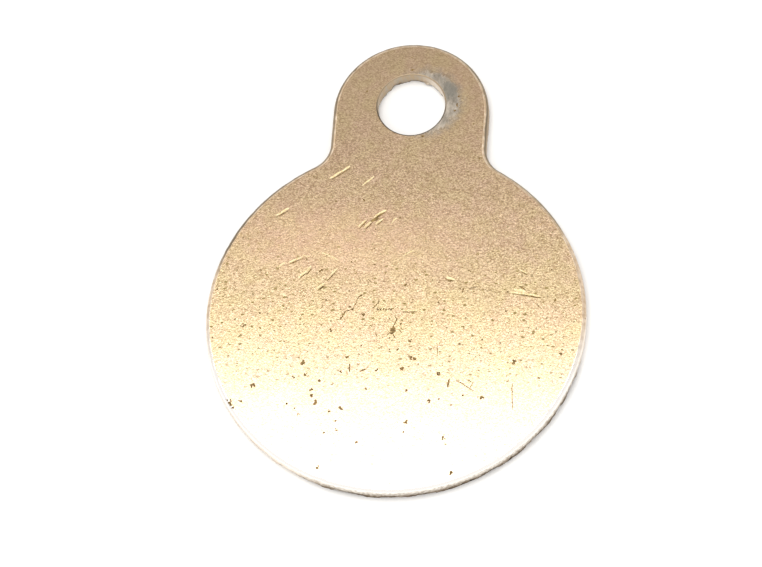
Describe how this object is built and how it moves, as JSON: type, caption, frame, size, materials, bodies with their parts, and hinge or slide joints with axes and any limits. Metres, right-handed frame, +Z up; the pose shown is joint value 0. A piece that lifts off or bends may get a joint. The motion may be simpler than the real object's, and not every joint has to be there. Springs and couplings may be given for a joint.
{
  "type": "pet id tag",
  "caption": "Round gold anodised aluminium identity tag for a pet's collar, with a plain face and a rounded tab pierced for a split ring.",
  "frame": {"origin": "middle of the ring hole, at half the thickness of the sheet", "axes": "+Z up out of the face along the ring hole's axis, +Y from the disc to the round top of the tab, +X to the right as the face is looked at with the tab up"},
  "size_m": [0.0254, 0.0333, 0.001],
  "materials": {
    "gold_anodised_aluminium": "satin etched and anodised in pale gold, with bare sheared edges"
  },
  "bodies": {
    "root": {"tag_plate": "gold_anodised_aluminium"}
  },
  "joints": []
}
